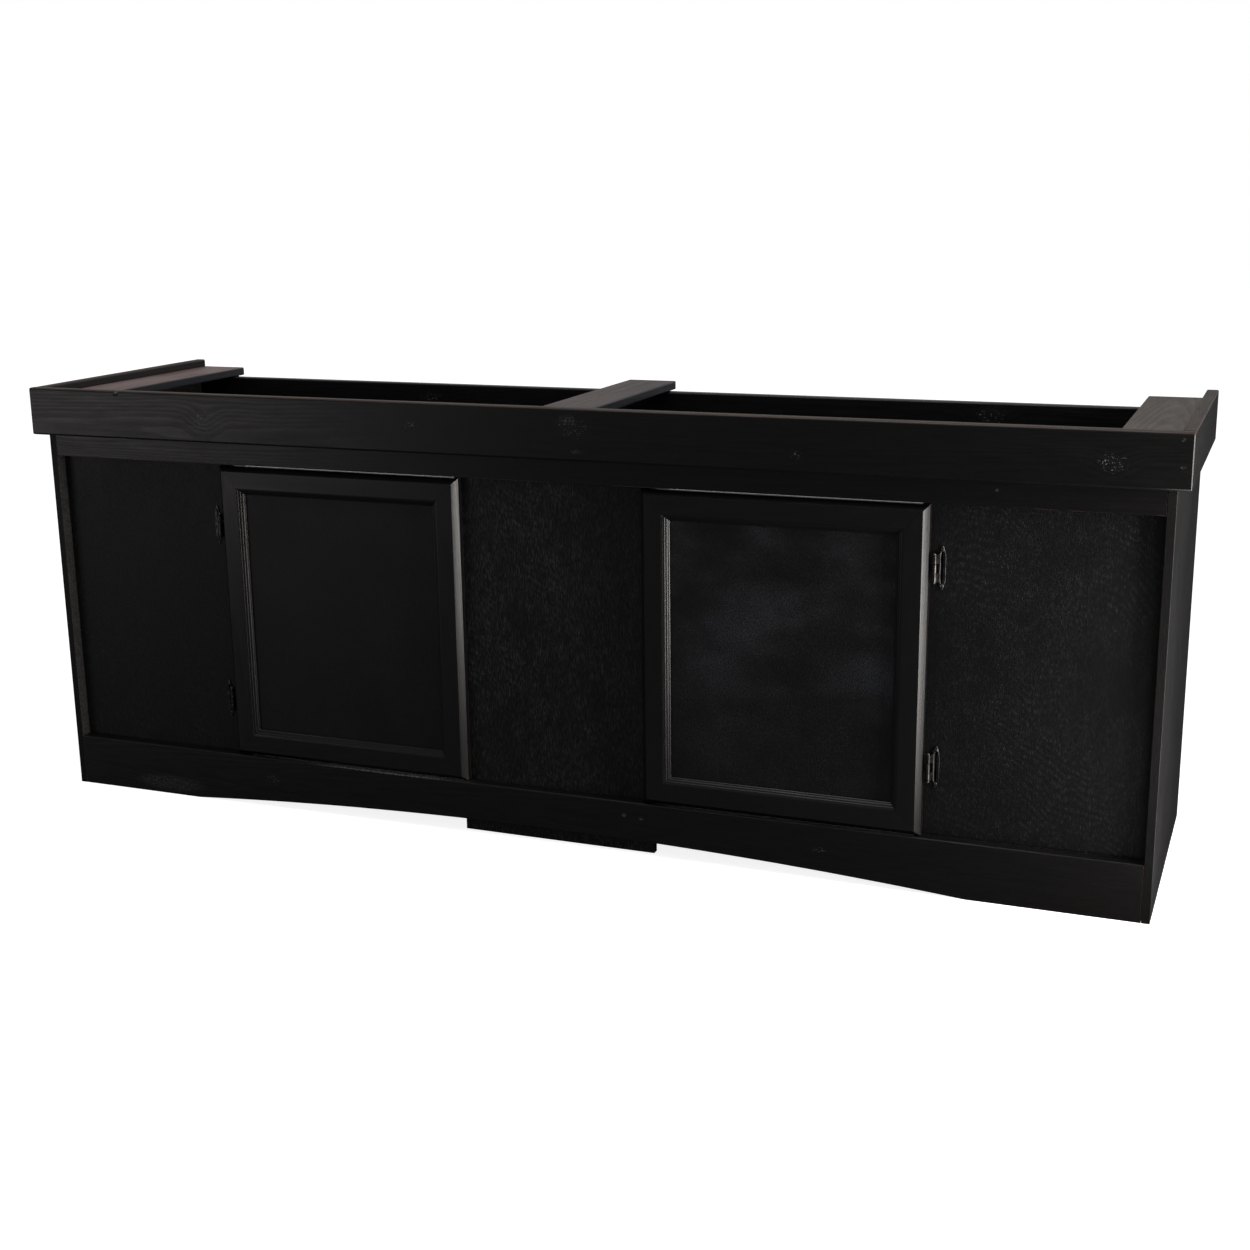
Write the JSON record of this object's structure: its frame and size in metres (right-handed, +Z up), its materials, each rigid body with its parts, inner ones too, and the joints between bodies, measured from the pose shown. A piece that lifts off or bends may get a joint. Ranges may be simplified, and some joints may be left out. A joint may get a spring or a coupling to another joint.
{
  "type": "aquarium stand cabinet",
  "caption": "Long low stand that carries an aquarium on cross planks inside a raised trim, with framed hinged doors in a recessed front and an open back.",
  "frame": {"origin": "on the floor, in the middle of the overall footprint", "axes": "+X along the length to the right as seen from the front, -Y out of the front with the doors, +Z up"},
  "size_m": [1.8984, 0.4922, 0.711],
  "materials": {
    "stained_pine": "satin",
    "stained_plank": "satin",
    "stained_plywood": "satin",
    "hinge_metal": "satin",
    "catch_plastic": "matte",
    "strike_steel": "brushed"
  },
  "bodies": {
    "cabinet": {"trim_front": "stained_pine", "trim_left": "stained_pine", "trim_right": "stained_pine", "plank_left": "stained_plank", "plank_center": "stained_plank", "plank_right": "stained_plank", "side_panel_left": "stained_plywood", "side_panel_right": "stained_plywood", "front_top_rail": "stained_pine", "skirt_board": "stained_pine", "front_panel_left": "stained_plywood", "front_panel_center": "stained_plywood", "front_panel_right": "stained_plywood", "front_corner_post_left": "stained_pine", "front_corner_post_right": "stained_pine", "front_center_post_left": "stained_pine", "front_center_post_right": "stained_pine", "back_top_rail": "stained_pine", "back_bottom_rail": "stained_pine", "back_post_left": "stained_pine", "back_post_center": "stained_pine", "back_post_right": "stained_pine", "floor_deck": "stained_plywood", "deck_cleat_back": "stained_pine", "deck_cleat_front_left": "stained_pine", "deck_cleat_front_right": "stained_pine", "deck_cleat_left": "stained_pine", "deck_cleat_right": "stained_pine", "left_upper_hinge_frame_leaf": "hinge_metal", "left_upper_hinge_pin": "hinge_metal", "left_lower_hinge_frame_leaf": "hinge_metal", "left_lower_hinge_pin": "hinge_metal", "left_catch_body": "catch_plastic", "right_upper_hinge_frame_leaf": "hinge_metal", "right_upper_hinge_pin": "hinge_metal", "right_lower_hinge_frame_leaf": "hinge_metal", "right_lower_hinge_pin": "hinge_metal", "right_catch_body": "catch_plastic"},
    "left_door": {"left_door_bottom_rail": "stained_pine", "left_door_right_stile": "stained_pine", "left_door_top_rail": "stained_pine", "left_door_left_stile": "stained_pine", "left_door_panel": "stained_plywood", "left_upper_hinge_door_leaf": "hinge_metal", "left_lower_hinge_door_leaf": "hinge_metal", "left_catch_strike": "strike_steel"},
    "right_door": {"right_door_bottom_rail": "stained_pine", "right_door_right_stile": "stained_pine", "right_door_top_rail": "stained_pine", "right_door_left_stile": "stained_pine", "right_door_panel": "stained_plywood", "right_upper_hinge_door_leaf": "hinge_metal", "right_lower_hinge_door_leaf": "hinge_metal", "right_catch_strike": "strike_steel"}
  },
  "joints": [
    {"name": "left_door_hinge", "type": "hinge", "parent": "cabinet", "child": "left_door", "pos_m": [-0.602, -0.2174, 0.335], "axis": [0, 0, -1], "range_deg": [0, 110]},
    {"name": "right_door_hinge", "type": "hinge", "parent": "cabinet", "child": "right_door", "pos_m": [0.602, -0.2174, 0.3465], "axis": [0, 0, 1], "range_deg": [0, 110]}
  ]
}
